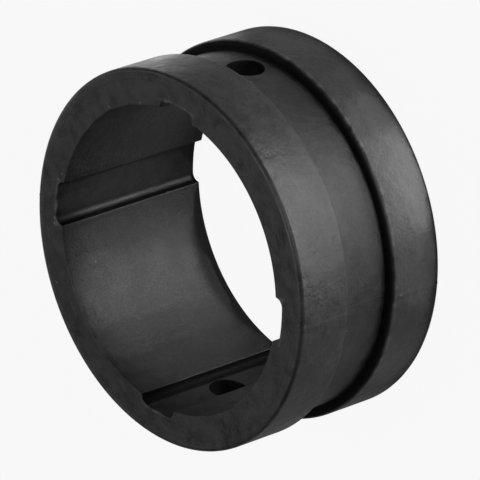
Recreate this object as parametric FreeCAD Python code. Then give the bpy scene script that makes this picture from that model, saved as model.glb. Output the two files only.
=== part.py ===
import FreeCAD, Part
import math
import os

# A one-piece moulded bush for the camshaft of a drum brake. Sizes are in millimetres, angles in degrees.
# It stands on its rear face: z = 0 there, and the axis runs up +Z to the front face.
# The grease holes lie along X, in the middle of two opposite recesses.

# Body: two bands of one diameter press into the bracket, and the camshaft journal turns in the bore.
bush_length = 24.5
bore_diameter = 42.0
channel_wall = 3.5      # from the bore to the channel's floor
channel_depth = 1.5
band_length = 8.5

# Edges as the mould leaves them.
rim_radius = 0.6        # rounding round the outside of each end face
lip_chamfer = 0.5       # band edges over the channel
bore_edge_break = 0.2   # inner outline of each end face

# Grease recesses along the bore, open at both ends.
recess_count = 4
recess_width = 6.2      # across the mouth, at the bore wall
recess_depth = 1.15
recess_wall_lean = 4.0
recess_corner_radius = 0.8

# Radial grease holes, from the channel into two opposite recesses.
hole_diameter = 5.0

bore_radius = bore_diameter / 2
channel_radius = bore_radius + channel_wall
band_radius = channel_radius + channel_depth
recess_floor_radius = bore_radius + recess_depth
front_band_start = bush_length - band_length

# Cutting tools run this far past the faces that they open.
overshoot = 2.0
# Edges are picked by place to within this distance.
tolerance = 1e-4

origin = FreeCAD.Vector(0, 0, 0)
axis = FreeCAD.Vector(0, 0, 1)


def turned_body():
    # Half section through one wall, turned about the axis.
    section = [
        (bore_radius, 0),
        (band_radius, 0),
        (band_radius, band_length),
        (channel_radius, band_length),
        (channel_radius, front_band_start),
        (band_radius, front_band_start),
        (band_radius, bush_length),
        (bore_radius, bush_length),
    ]
    corners = [FreeCAD.Vector(radius, 0, height) for radius, height in section]
    outline = Part.makePolygon(corners + corners[:1])
    return Part.Face(outline).revolve(origin, axis, 360)


def ring_edges(solid, radius, heights):
    # Full circles about the axis with this radius, at any of these heights.
    found = []
    for edge in solid.Edges:
        if not isinstance(edge.Curve, Part.Circle) or abs(edge.Curve.Radius - radius) > tolerance:
            continue
        if any(abs(edge.Curve.Center.z - height) < tolerance for height in heights):
            found.append(edge)
    return found


def shape_outer_edges(solid):
    rims = ring_edges(solid, band_radius, [0, bush_length])
    solid = solid.makeFillet(rim_radius, rims)
    lips = ring_edges(solid, band_radius, [band_length, front_band_start])
    return solid.makeChamfer(lip_chamfer, lips)


def recess_tool():
    # The walls lean in from the mouth, and the floor is an arc about the bore's axis.
    lean = math.tan(math.radians(recess_wall_lean))
    inner = bore_radius - overshoot
    outer = recess_floor_radius + overshoot
    bottom = -overshoot
    inner_half = recess_width / 2 + (bore_radius - inner) * lean
    outer_half = recess_width / 2 - (outer - bore_radius) * lean
    corners = [
        FreeCAD.Vector(inner, -inner_half, bottom),
        FreeCAD.Vector(outer, -outer_half, bottom),
        FreeCAD.Vector(outer, outer_half, bottom),
        FreeCAD.Vector(inner, inner_half, bottom),
    ]
    outline = Part.makePolygon(corners + corners[:1])
    wedge = Part.Face(outline).extrude(axis * (bush_length + 2 * overshoot))
    floor = Part.makeCylinder(recess_floor_radius, bush_length + 4 * overshoot, axis * (-2 * overshoot))
    tool = wedge.common(floor)
    return tool.makeFillet(recess_corner_radius, floor_corner_edges(tool))


def floor_corner_edges(tool):
    # Straight edges along the axis where the leaning walls meet the floor.
    found = []
    for edge in tool.Edges:
        ends = [vertex.Point for vertex in edge.Vertexes]
        if all(abs(math.hypot(end.x, end.y) - recess_floor_radius) < tolerance for end in ends):
            if abs(ends[0].z - ends[-1].z) > bush_length:
                found.append(edge)
    return found


def cut_recesses(solid):
    tool = recess_tool()
    for index in range(recess_count):
        turned = tool.copy()
        turned.rotate(origin, axis, index * 360 / recess_count)
        solid = solid.cut(turned)
    return solid


def cut_grease_holes(solid):
    # One straight tool passes through both walls, in the middle of the channel.
    reach = band_radius + overshoot
    start = FreeCAD.Vector(-reach, 0, bush_length / 2)
    drill = Part.makeCylinder(hole_diameter / 2, 2 * reach, start, FreeCAD.Vector(1, 0, 0))
    return solid.cut(drill)


def break_bore_edges(solid):
    # The whole inner outline of both end faces, recesses included.
    found = []
    for edge in solid.Edges:
        flat = edge.BoundBox.ZMax - edge.BoundBox.ZMin < tolerance
        middle = edge.valueAt((edge.FirstParameter + edge.LastParameter) / 2)
        on_end_face = flat and min(abs(middle.z), abs(middle.z - bush_length)) < tolerance
        if on_end_face and math.hypot(middle.x, middle.y) < recess_floor_radius + tolerance:
            found.append(edge)
    return solid.makeChamfer(bore_edge_break, found)


bushing = turned_body()
bushing = shape_outer_edges(bushing)
bushing = cut_recesses(bushing)
bushing = cut_grease_holes(bushing)
bushing = break_bore_edges(bushing).Solids[0]

os.makedirs("parts", exist_ok=True)
bushing.exportStep("parts/bushing.step")
print("bushing: volume", round(bushing.Volume, 1), "mm3, valid", bushing.isValid(), "solids", len(bushing.Solids))
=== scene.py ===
import math
import bmesh
import bpy
from mathutils import Matrix, Vector


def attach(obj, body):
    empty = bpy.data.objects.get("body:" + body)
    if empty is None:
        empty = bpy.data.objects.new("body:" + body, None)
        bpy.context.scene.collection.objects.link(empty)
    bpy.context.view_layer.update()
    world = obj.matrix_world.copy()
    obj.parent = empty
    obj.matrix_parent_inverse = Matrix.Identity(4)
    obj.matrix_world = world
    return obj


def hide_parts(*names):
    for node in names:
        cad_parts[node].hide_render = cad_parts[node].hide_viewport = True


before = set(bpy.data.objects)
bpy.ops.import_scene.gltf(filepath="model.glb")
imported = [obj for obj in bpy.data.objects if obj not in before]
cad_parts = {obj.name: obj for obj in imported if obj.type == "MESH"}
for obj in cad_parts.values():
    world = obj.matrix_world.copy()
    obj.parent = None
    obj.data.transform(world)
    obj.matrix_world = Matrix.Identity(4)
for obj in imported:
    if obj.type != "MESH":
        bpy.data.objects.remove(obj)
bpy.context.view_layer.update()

# sizes are in mm and angles in degrees, unless a note says otherwise
mm = 0.001
tight = 0.001               # how near to its place a point must be to be picked
loose = 0.01
turnLimit = 0.2             # the same for angles
flatNormal = 0.9999         # least upright part of a flat face's normal
mergeReach = 0.002          # points nearer than this are merged

view = {
    "azimuth": 32.36,               # round the bush, 0 looks along +Y
    "elevation": 38.72,
    "roll": -108.45,                # the bush seems to lie on its side
    "distance": 798.9,
    "aim": (-3.342, 4.501, 7.257),
    "lens": 450,
    "clip": (0.05, 20),             # nearest and farthest, in metres
}


def addCamera():
    azimuth = math.radians(view["azimuth"])
    elevation = math.radians(view["elevation"])
    back = Vector((
        math.sin(azimuth) * math.cos(elevation),
        -math.cos(azimuth) * math.cos(elevation),
        math.sin(elevation)))
    data = bpy.data.cameras.new("mainCamera")
    data.lens = view["lens"]
    data.clip_start, data.clip_end = view["clip"]
    camera = bpy.data.objects.new("mainCamera", data)
    bpy.context.scene.collection.objects.link(camera)
    upright = (-back).to_track_quat("-Z", "Y").to_matrix()
    turned = upright @ Matrix.Rotation(math.radians(view["roll"]), 3, "Z")
    place = Vector(view["aim"]) * mm + back * (view["distance"] * mm)
    camera.matrix_world = Matrix.Translation(place) @ turned.to_4x4()
    bpy.context.scene.camera = camera


bush = {
    "length": 24.5,
    "boreRadius": 21.0,
    "channelRadius": 24.5,
    "bandRadius": 25.96,            # the parting ridges stand proud of it
    "bandLength": 8.5,
    "segments": 360,                # round the bush
    "smoothAngle": 32,              # sharper edges stay sharp
    # rounded edges: radius, and the steps that it takes
    "rimRound": (0.6, 9),
    "lipRound": (0.75, 7),          # of both bands over the channel
    "channelCorner": (0.1, 4),
    "mouthEdge": (0.1, 4),          # inner outline of both end faces
    "recessMouth": (0.13, 3),
    "recessCorner": (0.92, 8),
    "holeEdge": (0.12, 3),
    # end faces
    "mouthReach": 22.6,             # inside this radius a point belongs to the bore and its recesses
    "faceMargin": 0.02,             # a thin frame that keeps the end faces flat up to their edges
    "faceSeam": 45.5,               # where two quarters of an end face meet, between two recesses
    # parting line left by the mould, a low ridge at both sides
    "ridgeSides": (90, 270),
    "ridgeHeight": 0.04,
    "ridgeSlope": 0.13,
    "ridgeTilt": 0.75,              # it ends where the surface faces up or down more than this
    # grease recesses along the bore
    "recesses": 4,
    "recessHalfTurn": 8.5,          # from the middle to the edge of the mouth
    "recessOffset": -1,             # the mould's core sits this far off the holes
    "recessFloorRadius": 22.15,
    "recessFloorHalfWidth": 3.03,
    "recessFloorStrips": (1.5, 4.5),  # edges kept in the floor, from its middle
    # grease holes from the channel into two of the recesses
    "holeRadius": 2.5,
    "holeSegments": 44,
    "holeCutAt": 23.3,              # middle of each cutter, from the axis
    "holeCutLength": 7,
    # burrs and nicks along the front edge of the bore
    "wearDepth": 1,
    "wearReach": 0.7,               # how far the edge moves along with each spot
    "wearSpots": [                  # angle, radius and outward push
        (5.5, 22.1, -0.16), (7.3, 21.4, 0.14), (18, 21.1, -0.12), (36, 21.1, 0.12), (52, 21.1, -0.08),
        (80, 21.2, 0.16), (83, 22.1, 0.12), (90.5, 22.2, -0.13), (95.5, 22.2, 0.12), (97.5, 21.2, -0.12),
        (111, 21.1, 0.08), (127, 21.1, -0.08), (139, 21.1, 0.13), (152, 21.1, 0.1), (163, 21.1, -0.1),
        (171, 21.3, 0.15), (176, 22.2, 0.16), (181, 22.2, -0.14), (185, 22.2, 0.12), (203, 21.1, -0.08),
        (222, 21.1, 0.1), (351, 21.2, -0.16), (356, 22.2, 0.12),
    ],
}


# places of points, faces and edges, all in mm and degrees

def radiusOf(point):
    return math.hypot(point.x, point.y) / mm


def angleOf(point):
    return math.degrees(math.atan2(point.y, point.x)) % 360


def turnBetween(first, second):
    return abs((first - second + 180) % 360 - 180)


def fromRecess(point):
    # from the middle of the nearest recess, before the recesses get their offset
    share = 360 / bush["recesses"]
    return abs((angleOf(point) + share / 2) % share - share / 2)


def fromHoleAxis(point):
    return math.hypot(point.y / mm, point.z / mm - bush["length"] / 2)


def atHeight(point, height):
    return abs(point.z / mm - height) < tight


def onEndFace(point):
    return atHeight(point, 0) or atHeight(point, bush["length"])


# picking by place in edit mode, and rounding what is picked

def pick(kind, test):
    bpy.ops.mesh.select_mode(type=kind)
    bpy.ops.mesh.select_all(action="DESELECT")
    mesh = bmesh.from_edit_mesh(bpy.context.object.data)
    things = {"VERT": mesh.verts, "EDGE": mesh.edges, "FACE": mesh.faces}[kind]
    for thing in things:
        if test(thing):
            thing.select_set(True)
    mesh.select_flush_mode()
    bmesh.update_edit_mesh(bpy.context.object.data)


def pickFaces(test):
    pick("FACE", lambda face: test(face.calc_center_median(), face.normal))


def pickEndFaces():
    pickFaces(lambda at, normal: abs(normal.z) > flatNormal and onEndFace(at))


def pickUprightEdges(test):
    def isOne(edge):
        start, end = (vert.co for vert in edge.verts)
        return (start - end).xy.length < tight * mm and test((start + end) / 2)
    pick("EDGE", isOne)


def pickRecessEdges(radius, turn):
    def isOne(at):
        return abs(radiusOf(at) - radius) < loose and abs(fromRecess(at) - turn) < turnLimit
    pickUprightEdges(isOne)


def pickRingEdges(radius, heights):
    # circles about the axis, at a radius and any of the heights
    def onRing(point):
        return abs(radiusOf(point) - radius) < loose and any(atHeight(point, height) for height in heights)
    pick("EDGE", lambda edge: all(onRing(vert.co) for vert in edge.verts))


def roundPicked(name):
    radius, steps = bush[name]
    bpy.ops.mesh.bevel(offset=radius * mm, segments=steps, affect="EDGES", clamp_overlap=False)


def openTube(name, radius):
    bpy.ops.object.select_all(action="DESELECT")
    bpy.ops.mesh.primitive_cylinder_add(
        vertices=bush["segments"], radius=radius * mm, depth=bush["length"] * mm, end_fill_type="NOTHING",
        location=(0, 0, bush["length"] / 2 * mm), rotation=(0, 0, math.pi / bush["segments"]))
    bpy.ops.object.transform_apply(location=True, rotation=True, scale=True)
    tube = bpy.context.object
    tube.name = name
    return tube


def sagOf(radius, halfWidth):
    # how far an arc of this half width stands out from its chord
    return radius - math.sqrt(radius ** 2 - halfWidth ** 2)


def makeBore():
    # the bore's skin with its recesses
    bore = bush["boreRadius"]
    floor = bush["recessFloorRadius"]
    floorHalf = bush["recessFloorHalfWidth"]
    mouthTurn = bush["recessHalfTurn"]
    skin = openTube("bushing_detail", bore)
    bpy.ops.object.mode_set(mode="EDIT")

    # a floor keeps only a few of the tube's edges, or its rounded corners would fold over them
    def isExtra(point):
        turn = fromRecess(point)
        fromStrips = min(abs(turn - strip) for strip in bush["recessFloorStrips"])
        return turn < mouthTurn - turnLimit and fromStrips > turnLimit
    pickUprightEdges(isExtra)
    bpy.ops.mesh.dissolve_edges(use_verts=True)

    # each floor is pushed out and fitted to its own width and arc, along X and Y by turns
    mouthHalf = bore * math.sin(math.radians(mouthTurn))
    flatter = sagOf(floor, floorHalf) / sagOf(bore, mouthHalf)
    narrower = floorHalf / mouthHalf
    for index in range(bush["recesses"]):
        middle = index * 360 / bush["recesses"]
        out = Vector((math.cos(math.radians(middle)), math.sin(math.radians(middle)), 0))
        pickFaces(lambda at, normal: turnBetween(angleOf(at), middle) < mouthTurn)
        bpy.ops.mesh.extrude_region_move()
        size = (flatter, narrower, 1) if index % 2 == 0 else (narrower, flatter, 1)
        centre = out * bore * mm + Vector((0, 0, bush["length"] / 2 * mm))
        bpy.ops.transform.resize(value=size, center_override=centre)
        bpy.ops.transform.translate(value=out * (floor - bore) * mm)
    pickFaces(lambda at, normal: onEndFace(at))
    bpy.ops.mesh.delete(type="FACE")
    bpy.ops.mesh.remove_doubles(threshold=mergeReach * mm)

    pickRecessEdges(bore, mouthTurn)
    roundPicked("recessMouth")
    pickRecessEdges(floor, math.degrees(math.asin(floorHalf / floor)))
    roundPicked("recessCorner")
    bpy.ops.object.mode_set(mode="OBJECT")
    skin.rotation_euler.z = math.radians(bush["recessOffset"])
    bpy.ops.object.transform_apply(location=True, rotation=True, scale=True)
    return skin


def makeOutside():
    # the two bands and the channel between them
    skin = openTube("outside", bush["bandRadius"])
    bpy.ops.object.mode_set(mode="EDIT")
    lips = (bush["bandLength"], bush["length"] - bush["bandLength"])
    for height in lips:
        bpy.ops.mesh.select_all(action="SELECT")
        bpy.ops.mesh.bisect(plane_co=(0, 0, height * mm), plane_no=(0, 0, 1))
    pickFaces(lambda at, normal: lips[0] < at.z / mm < lips[1])
    bpy.ops.mesh.extrude_region_move()
    inward = bush["channelRadius"] / bush["bandRadius"]
    bpy.ops.transform.resize(value=(inward, inward, 1), center_override=(0, 0, bush["length"] / 2 * mm))
    bpy.ops.mesh.remove_doubles(threshold=mergeReach * mm)
    pickRingEdges(bush["bandRadius"], lips)
    roundPicked("lipRound")
    pickRingEdges(bush["channelRadius"], lips)
    roundPicked("channelCorner")
    bpy.ops.object.mode_set(mode="OBJECT")
    return skin


def closeEnds():
    # one flat face for each quarter of both end faces
    bpy.ops.object.mode_set(mode="EDIT")
    for height in (0, bush["length"]):
        for quarter in range(4):
            begin = bush["faceSeam"] + 90 * quarter - turnLimit

            def inQuarter(vert):
                return atHeight(vert.co, height) and (angleOf(vert.co) - begin) % 360 < 90 + 2 * turnLimit
            pick("VERT", inQuarter)
            bpy.ops.mesh.edge_face_add()
    bpy.ops.mesh.select_all(action="SELECT")
    bpy.ops.mesh.normals_make_consistent(inside=False)
    bpy.ops.object.mode_set(mode="OBJECT")


def cutHoles(piece):
    flatAngle = 0.25            # faces that differ by less are joined
    crumb = 0.02                # size of the crumbs that the cut leaves
    sharpAngle = 50             # the edges of the holes are sharper than this
    for side in (-1, 1):
        bpy.ops.object.select_all(action="DESELECT")
        bpy.ops.mesh.primitive_cylinder_add(
            vertices=bush["holeSegments"], radius=bush["holeRadius"] * mm, depth=bush["holeCutLength"] * mm,
            location=(side * bush["holeCutAt"] * mm, 0, bush["length"] / 2 * mm),
            rotation=(0, math.pi / 2, 0))
        bpy.ops.object.transform_apply(location=True, rotation=True, scale=True)
        cutter = bpy.context.object
        bpy.context.view_layer.objects.active = piece
        cut = piece.modifiers.new("hole", "BOOLEAN")
        cut.operation = "DIFFERENCE"
        cut.solver = "MANIFOLD"
        cut.object = cutter
        bpy.ops.object.modifier_apply(modifier=cut.name)
        bpy.data.objects.remove(cutter)
    bpy.ops.object.select_all(action="DESELECT")
    piece.select_set(True)
    bpy.ops.object.mode_set(mode="EDIT")

    # the cut leaves flat triangles and crumbs, which are joined up before the edges are rounded
    pickFaces(lambda at, normal: abs(normal.z) < flatNormal)
    bpy.ops.mesh.dissolve_limited(angle_limit=math.radians(flatAngle))
    pick("VERT", lambda vert: fromHoleAxis(vert.co) < bush["holeRadius"] + crumb)
    bpy.ops.mesh.remove_doubles(threshold=crumb * mm)

    def isHoleEdge(edge):
        if len(edge.link_faces) != 2 or edge.calc_face_angle() < math.radians(sharpAngle):
            return False
        return all(abs(fromHoleAxis(vert.co) - bush["holeRadius"]) < crumb for vert in edge.verts)
    pick("EDGE", isHoleEdge)
    roundPicked("holeEdge")
    bpy.ops.object.mode_set(mode="OBJECT")


def roundEnds():
    bpy.ops.object.mode_set(mode="EDIT")
    pickRingEdges(bush["bandRadius"], (0, bush["length"]))
    roundPicked("rimRound")

    def isMouth(edge):
        return all(onEndFace(vert.co) and radiusOf(vert.co) < bush["mouthReach"] for vert in edge.verts)
    pick("EDGE", isMouth)
    roundPicked("mouthEdge")
    pickEndFaces()
    bpy.ops.mesh.inset(thickness=bush["faceMargin"] * mm)
    bpy.ops.object.mode_set(mode="OBJECT")


def raiseParting():
    bpy.ops.object.mode_set(mode="EDIT")
    for side in bush["ridgeSides"]:
        def onRidge(at, normal):
            outside = radiusOf(at) > bush["mouthReach"] and abs(normal.z) < bush["ridgeTilt"]
            return outside and turnBetween(angleOf(at), side) < turnLimit
        pickFaces(onRidge)
        bpy.ops.mesh.inset(thickness=bush["ridgeSlope"] * mm, depth=bush["ridgeHeight"] * mm)
    bpy.ops.object.mode_set(mode="OBJECT")


def wearEdges():
    bpy.ops.object.mode_set(mode="EDIT")
    # a cut round the bush keeps the moves close to the front face
    cutHeight = bush["length"] - bush["wearDepth"]
    bpy.ops.mesh.select_all(action="SELECT")
    bpy.ops.mesh.bisect(plane_co=(0, 0, cutHeight * mm), plane_no=(0, 0, 1))
    # only the front edge stays in sight, so each move is quick
    pick("VERT", lambda vert: vert.co.z / mm > cutHeight + loose and radiusOf(vert.co) < bush["mouthReach"])
    bpy.ops.mesh.hide(unselected=True)
    for angle, radius, push in bush["wearSpots"]:
        out = Vector((math.cos(math.radians(angle)), math.sin(math.radians(angle)), 0))
        spot = (out * radius + Vector((0, 0, bush["length"]))) * mm
        pick("VERT", lambda vert: not vert.hide and (vert.co - spot).length < bush["wearReach"] / 2 * mm)
        bpy.ops.transform.translate(
            value=out * push * mm, use_proportional_edit=True,
            proportional_edit_falloff="SMOOTH", proportional_size=bush["wearReach"] * mm)
    bpy.ops.mesh.reveal(select=False)
    bpy.ops.object.mode_set(mode="OBJECT")


def finishMesh(piece):
    bpy.ops.object.mode_set(mode="EDIT")
    bpy.ops.mesh.select_all(action="SELECT")
    bpy.ops.mesh.remove_doubles(threshold=mergeReach * mm)
    bpy.ops.mesh.normals_make_consistent(inside=False)
    mesh = bmesh.from_edit_mesh(piece.data)
    openEdges = sum(1 for edge in mesh.edges if len(edge.link_faces) != 2)
    volume = round(mesh.calc_volume() / mm ** 3, 1)
    print("bush:", len(mesh.faces), "faces,", openEdges, "open edges,", volume, "mm3")
    bpy.ops.object.mode_set(mode="OBJECT")
    bpy.ops.object.shade_smooth_by_angle(angle=math.radians(bush["smoothAngle"]))
    bpy.ops.object.mode_set(mode="EDIT")
    pickEndFaces()
    bpy.ops.mesh.faces_shade_flat()
    bpy.ops.object.mode_set(mode="OBJECT")


def makeBush():
    bore = makeBore()
    outside = makeOutside()
    bpy.ops.object.select_all(action="DESELECT")
    outside.select_set(True)
    bore.select_set(True)
    bpy.context.view_layer.objects.active = bore
    bpy.ops.object.join()
    closeEnds()
    cutHoles(bore)
    roundEnds()
    raiseParting()
    wearEdges()
    finishMesh(bore)
    return bore


# a node's socket, which Python expressions turn into Math nodes
class Flow:
    def __init__(self, tree, made=None, output=0):
        self.tree = tree
        self.made = made
        self.socket = made.outputs[output] if made and len(made.outputs) else None

    def out(self, output):
        return Flow(self.tree, self.made, output)

    def node(self, kind, settings=None, sockets=None):
        made = self.tree.nodes.new(kind)
        for name, value in (settings or {}).items():
            if name == "stops":
                for stop, (place, shade) in zip(made.color_ramp.elements, value):
                    stop.position = place
                    stop.color = shade
            else:
                setattr(made, name, value)
        for name, value in (sockets or {}).items():
            if isinstance(value, Flow):
                self.tree.links.new(value.socket, made.inputs[name])
            else:
                made.inputs[name].default_value = value
        return Flow(self.tree, made)

    def maths(self, operation, *values):
        return self.node("ShaderNodeMath", {"operation": operation}, dict(enumerate(values)))

    def above(self, limit):
        return self.maths("GREATER_THAN", self, limit)

    def below(self, limit):
        return self.maths("LESS_THAN", self, limit)

    def within(self, low, high):
        return self.above(low) * self.below(high)

    def most(self, other):
        return self.maths("MAXIMUM", self, other)

    def root(self):
        return self.maths("SQRT", self)

    def fade(self, start, end):
        # 0 up to the start, 1 from the end on
        return self.node("ShaderNodeMapRange", sockets={"Value": self, "From Min": start, "From Max": end})

    def __add__(self, other):
        return self.maths("ADD", self, other)

    def __sub__(self, other):
        return self.maths("SUBTRACT", self, other)

    def __rsub__(self, other):
        return self.maths("SUBTRACT", other, self)

    def __mul__(self, other):
        return self.maths("MULTIPLY", self, other)

    __radd__ = __add__
    __rmul__ = __mul__


nylon = {
    "dark": (0.0086, 0.0081, 0.0106, 1),
    "light": (0.030, 0.0301, 0.0301, 1),
    "mottle": (0.41, 0.59),         # noise levels where the colour is all dark and all light
    "specular": 0.9,
    "roughness": 0.45,
    "roughnessSway": 0.5,           # how much the mottling changes it
    "smudgeRoughness": 0.25,        # added in the smudges
    "coat": (0.3, 0.2),             # what the patches and the grain add
    "boreCoat": (0.12, 0.6),        # least coat in the bore, and what its glints add
    "coatRoughness": 0.42,
    # noises: size, detail, roughness
    "grain": (0.3, 4, 0.75),
    "patches": (2.0, 4, 0.6),
    "clouds": (6, 3, 0.55),
    "mix": (0.35, 0.35, 0.3),       # how much of each the colour takes
    # relief
    "relief": 0.05,
    "grainRelief": (0.4, 1.4),      # everywhere, and what the bore adds
    "patchRelief": (3, 2),          # everywhere, and what the outside adds
    "fleckRelief": 1.2,
    # lint: its colour, which the painted highlights and glints below also take; lattice size, share of
    # empty cells, and a speck's least and added radius in its cell
    "lint": (0.30, 0.30, 0.31, 1),
    "lintSize": 2.8,
    "lintGaps": 0.86,
    "lintSpeck": (0.03, 0.04),
    "lintStrength": 0.6,
    # painted glints, light flecks on burrs and corners: x, y, z, radius
    "glintStrength": 0.7,
    "solidCore": 0.4,               # share of the radius that is at full strength
    "glintSpots": [
        (17.5, 12.6, 24.5, 0.22), (20.2, 6.6, 24.5, 0.25), (21.3, 2.2, 24.5, 0.3), (20.8, -3.4, 24.4, 0.3),
        (-0.3, 22.4, 24.5, 0.2), (-2.1, 22.4, 24.5, 0.2), (-2.9, 22.4, 24.5, 0.2), (4.7, 21.3, 24.5, 0.2),
        (0.1, -26.0, 6.9, 0.2), (-0.8, -25.9, 2.1, 0.15), (0.0, -24.6, 12.0, 0.12), (-20.1, 6.2, 20.2, 0.1),
        (-19.4, -8.2, 21.4, 0.1), (-21.8, 3.0, 7.7, 0.15), (24.4, 1.1, 14.5, 0.2), (24.2, -3.6, 14.5, 0.3),
        (25.8, -1.9, 16.4, 0.3), (-3.5, -24.3, 14.8, 0.25), (-3.5, -24.3, 15.2, 0.25),
        (-3.5, -24.3, 15.6, 0.2),
    ],
    # dull smudges: x, y, z, radius
    "smudges": [
        (-1.5, -25.9, 17.0, 0.9), (-2.8, -25.8, 19.5, 1.4), (24.2, -3.6, 13.6, 1.3), (8.9, 20.5, 24.5, 1.5),
        (-16.6, 17.0, 24.5, 1.0),
    ],
    # painted highlights, a lighter colour: front edge of the recesses, far rim of the front face, line
    # along the rear lip
    "edgeHighlightStrength": 0.3,
    "edgeRadius": 21.7,
    "edgeHeight": 24.36,
    "rimHighlightStrength": 0.28,
    "rimSide": 105,                 # direction that the rim's painted highlight lies towards
    "rimReach": (2, 20),            # that way from the axis
    "rimRadii": (24.7, 26.0),
    "rimHeight": 23.4,
    "lipHighlightStrength": 0.25,
    "lineRadii": (25.7, 25.9),
    "lineHeights": (7.6, 8.2),
    # what counts as the bore's wall, and as the outside
    "boreSkin": 0.1,
    "outsideFrom": 24,              # radius
    "outsideUpTo": 24,              # height
    # painted shade in the hollows and corners, dull and darker still; turns are from the middle of a recess
    "grease": (0.003, 0.003, 0.003, 1),
    "greaseRoughness": 0.8,
    "greaseSpecular": 0.15,
    "recessTurn": 9,                # what counts as inside a recess
    "recessRadii": (21.04, 22.5),
    "inRecess": 0.3,
    "onWalls": 0.95,
    "farWall": (-4.6, -6.0, -10),   # turns where it fades in, and the highest x that has it
    "nearWall": (7.6, 7.85, 10),
    "onCorners": 0.45,
    "cornerTurns": (5, 7.6),
    "inHoles": 0.85,
    "holeMargin": 0.05,
    "holeFrom": 21.2,               # radius
    "inChannel": 0.9,
    "channelReach": (1.6, 1.15),    # from the rear corner of the channel
    "channelMargins": (0.04, 0.1),  # above its floor, and past the edge of the rear band
    "onChannelFloor": 0.14,
    "channelFloor": (24.4, 24.55),  # radii
}


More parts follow.
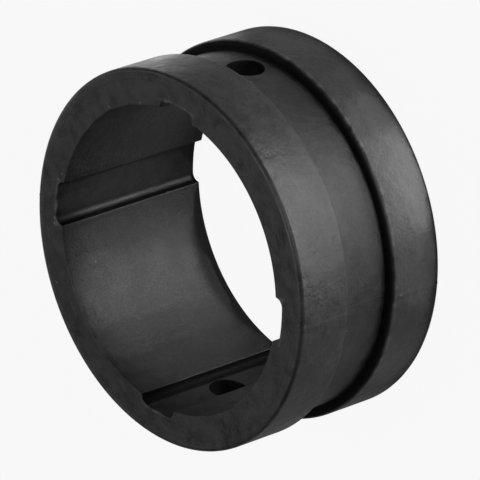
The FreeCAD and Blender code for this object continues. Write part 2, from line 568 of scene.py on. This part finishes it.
def makeNylon():
    material = bpy.data.materials.new("black_nylon")
    material.use_nodes = True
    tree = material.node_tree
    shader = tree.nodes["Principled BSDF"]
    start = Flow(tree)
    place = start.node("ShaderNodeTexCoord").out("Object")
    spot = start.node("ShaderNodeSeparateXYZ", sockets={"Vector": place})
    x, y, z = (spot.out(axis) * (1 / mm) for axis in "XYZ")
    radius = (x * x + y * y).root()
    # turn from the middle of the nearest recess
    turn = y.maths("ARCTAN2", y, x) * math.degrees(1) - bush["recessOffset"]
    turn = turn.maths("WRAP", turn, 45, -45)
    belowMouth = z.below(bush["length"] - bush["mouthEdge"][0])
    inBore = radius.below(bush["boreRadius"] + nylon["boreSkin"]) * belowMouth
    onOutside = radius.above(nylon["outsideFrom"]) * z.below(nylon["outsideUpTo"])
    inRecess = turn.within(-nylon["recessTurn"], nylon["recessTurn"]) * radius.within(*nylon["recessRadii"])

    def noise(size, detail, roughness):
        return start.node("ShaderNodeTexNoise", sockets={
            "Vector": place, "Scale": 1 / (size * mm), "Detail": detail, "Roughness": roughness})

    def near(points):
        # 1 close to any of the points, fading to 0 at their radius
        total = None
        for *point, reach in points:
            away = start.node(
                "ShaderNodeVectorMath", {"operation": "DISTANCE"},
                {0: place, 1: [one * mm for one in point]}).out("Value")
            part = away.fade(reach * mm, reach * nylon["solidCore"] * mm)
            total = total.most(part) if total else part
        return total

    # cloudy mottling; noise stays near 0.5, so the fades below pick its upper parts
    grain = noise(*nylon["grain"])
    patches = noise(*nylon["patches"])
    clouds = noise(*nylon["clouds"])
    grainShare, patchShare, cloudShare = nylon["mix"]
    amount = grain * grainShare + patches * patchShare + clouds * cloudShare
    stops = list(zip(nylon["mottle"], (nylon["dark"], nylon["light"])))
    colour = start.node("ShaderNodeValToRGB", {"stops": stops}, {"Fac": amount})

    # lint: a few cells of a fine lattice hold a small light speck
    cells = start.node("ShaderNodeTexVoronoi", sockets={
        "Vector": place, "Scale": 1 / (nylon["lintSize"] * mm), "Randomness": 1})
    draw = start.node("ShaderNodeSeparateColor", sockets={"Color": cells.out("Color")})
    least, added = nylon["lintSpeck"]
    speck = cells.out("Distance").below(least + draw.out("Green") * added)
    lint = draw.out("Red").above(nylon["lintGaps"]) * speck * nylon["lintStrength"]
    # painted glints: light flecks on burrs and corners
    fleck = near(nylon["glintSpots"]) * grain.fade(0.35, 0.55) * nylon["glintStrength"]
    # painted highlight along the front edge of the recesses
    edge = inRecess * z.above(nylon["edgeHeight"]) * radius.above(nylon["edgeRadius"])
    edge = edge * patches.fade(0.42, 0.6)
    lintAndHighlights = lint.most(edge * nylon["edgeHighlightStrength"]).most(fleck)

    # painted highlights: the far rim of the front face lighter on one side, and a light line along the rear
    # lip
    side = math.radians(nylon["rimSide"])
    towards = x * math.cos(side) + y * math.sin(side)
    rim = radius.fade(*nylon["rimRadii"]) * z.above(nylon["rimHeight"]) * towards.fade(*nylon["rimReach"])
    line = radius.fade(*nylon["lineRadii"]) * z.within(*nylon["lineHeights"]) * patches.fade(0.45, 0.65)
    light = lintAndHighlights.most(rim * nylon["rimHighlightStrength"] + line * nylon["lipHighlightStrength"])
    # lint, the painted highlights and the painted glints all mix towards the lint's colour
    colour = start.node(
        "ShaderNodeMix", {"data_type": "RGBA"}, {"Factor": light, 6: colour, 7: nylon["lint"]}).out(2)
    tree.links.new(colour.socket, shader.inputs["Base Color"])

    # roughness, and a coat that glints on the grain where light grazes the bore
    dull = near(nylon["smudges"]) * patches.fade(0.4, 0.6)
    sway = ((patches - 0.5) + (clouds - 0.5)) * nylon["roughnessSway"]
    rough = nylon["roughness"] + sway + dull * nylon["smudgeRoughness"]
    tree.links.new(rough.socket, shader.inputs["Roughness"])
    patchCoat, grainCoat = nylon["coat"]
    leastCoat, glint = nylon["boreCoat"]
    coat = patches.fade(0.42, 0.62) * patchCoat + grain.fade(0.4, 0.6) * grainCoat
    boreCoat = grain.fade(0.46, 0.6) * patches.fade(0.4, 0.6) * glint + leastCoat
    coat = coat * (1 - inBore) + boreCoat * inBore
    tree.links.new(coat.socket, shader.inputs["Coat Weight"])
    shader.inputs["Coat Roughness"].default_value = nylon["coatRoughness"]
    shader.inputs["Specular IOR Level"].default_value = nylon["specular"]

    fine, fineInBore = nylon["grainRelief"]
    coarse, coarseOutside = nylon["patchRelief"]
    height = grain * (fine + inBore * fineInBore) + patches * (coarse + onOutside * coarseOutside)
    height = height + lintAndHighlights * nylon["fleckRelief"]
    bump = start.node("ShaderNodeBump", sockets={
        "Height": height, "Strength": 1, "Distance": nylon["relief"] * mm})
    tree.links.new(bump.socket, shader.inputs["Normal"])

    # painted shade, a dark dull finish mixed in: in the holes and recesses, on their walls and corners, in
    # the rear corner of the channel and faintly on its floor
    farFrom, farTo, farX = nylon["farWall"]
    nearFrom, nearTo, nearX = nylon["nearWall"]
    wall = (turn.fade(farFrom, farTo) * x.below(farX)).most(turn.fade(nearFrom, nearTo) * x.below(nearX))
    toMiddle = z - bush["length"] / 2
    hole = (y * y + toMiddle * toMiddle).root().below(bush["holeRadius"] + nylon["holeMargin"])
    toFloor = radius - bush["channelRadius"]
    toBand = z - bush["bandLength"]
    corner = (toFloor * toFloor + toBand * toBand).root().fade(*nylon["channelReach"])
    aboveFloor, pastBand = nylon["channelMargins"]
    corner = corner * toFloor.above(aboveFloor) * toBand.below(pastBand)
    paintedShadeMask = hole * radius.above(nylon["holeFrom"]) * nylon["inHoles"]
    paintedShadeMask = paintedShadeMask.most(inRecess * belowMouth * wall * nylon["onWalls"])
    paintedShadeMask = paintedShadeMask.most(corner * nylon["inChannel"])
    paintedShadeMask = paintedShadeMask.most(inRecess * belowMouth * nylon["inRecess"])
    paintedShadeMask = paintedShadeMask.most(inRecess * belowMouth * turn.within(*nylon["cornerTurns"]) * nylon["onCorners"])
    paintedShadeMask = paintedShadeMask.most(radius.within(*nylon["channelFloor"]) * nylon["onChannelFloor"])
    # the dark dull finish that paints the shade
    grease = start.node("ShaderNodeBsdfPrincipled", sockets={
        "Base Color": nylon["grease"], "Roughness": nylon["greaseRoughness"],
        "Specular IOR Level": nylon["greaseSpecular"]})
    unshadedNylon = Flow(tree, shader)
    both = start.node("ShaderNodeMixShader", sockets={0: paintedShadeMask, 1: unshadedNylon, 2: grease})
    tree.links.new(both.socket, tree.nodes["Material Output"].inputs["Surface"])
    return material


studio = {
    "world": 0.03,
    "floorSize": 6,                 # metres
    "paper": (0.8, 0.8, 0.8, 1),
    "shadow": 0.08,                 # how much of the real paper, with its shadows, the camera sees
    "softboxDistance": 0.8,         # metres, as the size
    "softboxSize": 0.35,
    # softboxes: azimuth from +X towards +Y, elevation, share of a plain light level
    "softboxes": {
        "overhead": (0, 85, 0.13),
        "behind": (123, 60, 0.04),
        "right": (80, 38, 0.04),
        "back": (165, 38, 0.02),
        "rimLeft": (110, 6, 0.04),
        "front": (303, 30, 0.14),
    },
    # no two panels share a height, or the one in front would swallow the other
    "panelHeight": 0.2,
    "panelStep": 0.05,
    # glowing panels flat on the floor, out of the camera's sight: azimuth, near, far, width, brightness
    "panels": {
        "closeNarrow": (303, 26.3, 34, 16, 1.5),
        "closeWide": (303, 26.3, 34, 40, 0.2),
        "closeUpper": (315, 26.3, 50, 20, 0.6),
        "closeLower": (290, 26.3, 50, 12, 0.2),
        "frontNarrow": (303, 46, 80, 30, 0.36),
        "frontWide": (303, 46, 80, 70, 2.6),
        "lower": (277, 26.3, 40, 16, 0.32),
        "lowest": (250, 26.3, 50, 26, 0.13),
        "upper": (332, 26.3, 40, 16, 0.15),
        "uppermost": (355, 26.3, 50, 26, 0.17),
        "topClose": (75, 26.3, 36, 30, 1.0),
        "topMiddle": (75, 36, 60, 40, 0.68),
        "topLeft": (52, 26.3, 50, 24, 0.4),
        "topFar": (52, 60, 150, 50, 0.74),
        "boreFront": (335, 6, 18, 14, 0.45),
        "boreTop": (40, 12, 20, 12, 0.4),
        "boreFill": (0, -17, 17, 34, 0.17),
    },
    # one tilted panel low in the bore, whose narrow beam lights the far wall as a distant lamp would
    "beam": {
        "azimuth": 311,
        "tilt": 39,
        "along": -12.3,
        "height": 6.3,
        "slope": 16,
        "width": 32,
        "spread": 30,
        "brightness": 0.265,
    },
}


def addFloor():
    bpy.ops.object.select_all(action="DESELECT")
    bpy.ops.mesh.primitive_plane_add(size=studio["floorSize"], location=(0, 0, 0))
    floor = bpy.context.object
    floor.name = "floor"
    material = bpy.data.materials.new("floor_paper")
    material.use_nodes = True
    tree = material.node_tree
    tree.nodes.clear()
    start = Flow(tree)
    seen = start.node("ShaderNodeLightPath").out("Is Camera Ray")
    paper = start.node("ShaderNodeBsdfDiffuse", sockets={"Color": studio["paper"]})
    white = start.node("ShaderNodeEmission", sockets={"Color": (1, 1, 1, 1), "Strength": 1.0})
    share = seen * (1 - studio["shadow"])
    mixed = start.node("ShaderNodeMixShader", sockets={0: share, 1: paper, 2: white})
    start.node("ShaderNodeOutputMaterial", sockets={"Surface": mixed})
    floor.data.materials.append(material)


def addArea(name, shape, width, height, watts, place, facing):
    data = bpy.data.lights.new(name, "AREA")
    data.shape = shape
    data.size = width
    data.size_y = height
    data.energy = watts
    lamp = bpy.data.objects.new(name, data)
    bpy.context.scene.collection.objects.link(lamp)
    lamp.location = place
    lamp.rotation_mode = "QUATERNION"
    lamp.rotation_quaternion = facing
    lamp.visible_camera = False
    return lamp


def addSoftbox(name, azimuth, elevation, level):
    a = math.radians(azimuth)
    e = math.radians(elevation)
    out = Vector((math.cos(a) * math.cos(e), math.sin(a) * math.cos(e), math.sin(e)))
    distance = studio["softboxDistance"]
    size = studio["softboxSize"]
    watts = (math.pi * distance) ** 2 * level
    addArea(name, "ELLIPSE", size, size, watts, out * distance, (-out).to_track_quat("-Z", "Y"))


def addPanel(name, azimuth, near, far, width, brightness, height):
    a = math.radians(azimuth)
    out = Vector((math.cos(a), math.sin(a), 0))
    length = (far - near) * mm
    watts = brightness * math.pi * length * width * mm
    facing = Matrix.Rotation(a, 3, "Z") @ Matrix.Rotation(math.pi, 3, "X")
    middle = out * (near + far) / 2 * mm + Vector((0, 0, height * mm))
    addArea(name, "RECTANGLE", length, width * mm, watts, middle, facing.to_quaternion())


def addBeam(azimuth, tilt, along, height, slope, width, spread, brightness):
    a = math.radians(azimuth)
    e = math.radians(tilt)
    out = Vector((math.cos(a), math.sin(a), 0))
    facing = Vector((-out.x * math.cos(e), -out.y * math.cos(e), math.sin(e)))
    watts = brightness * math.pi * slope * width * mm * mm
    place = out * along * mm + Vector((0, 0, height * mm))
    turned = facing.to_track_quat("-Z", "Y")
    lamp = addArea("beam", "RECTANGLE", width * mm, slope * mm, watts, place, turned)
    lamp.data.spread = math.radians(spread)


def addLamps():
    world = bpy.data.worlds.new("studio")
    bpy.context.scene.world = world
    world.use_nodes = True
    background = world.node_tree.nodes["Background"]
    background.inputs["Color"].default_value = (1, 1, 1, 1)
    background.inputs["Strength"].default_value = studio["world"]
    for name, values in studio["softboxes"].items():
        addSoftbox(name, *values)
    for index, (name, values) in enumerate(studio["panels"].items()):
        addPanel(name, *values, height=studio["panelHeight"] + studio["panelStep"] * index)
    addBeam(**studio["beam"])


addCamera()
print("camera placed")
bushing = makeBush()
print("bush modelled")
bushing.data.materials.clear()
bushing.data.materials.append(makeNylon())
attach(bushing, "root")
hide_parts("bushing")
print("material set")
addFloor()
addLamps()
print("studio ready")
bpy.context.scene.view_settings.view_transform = "Standard"
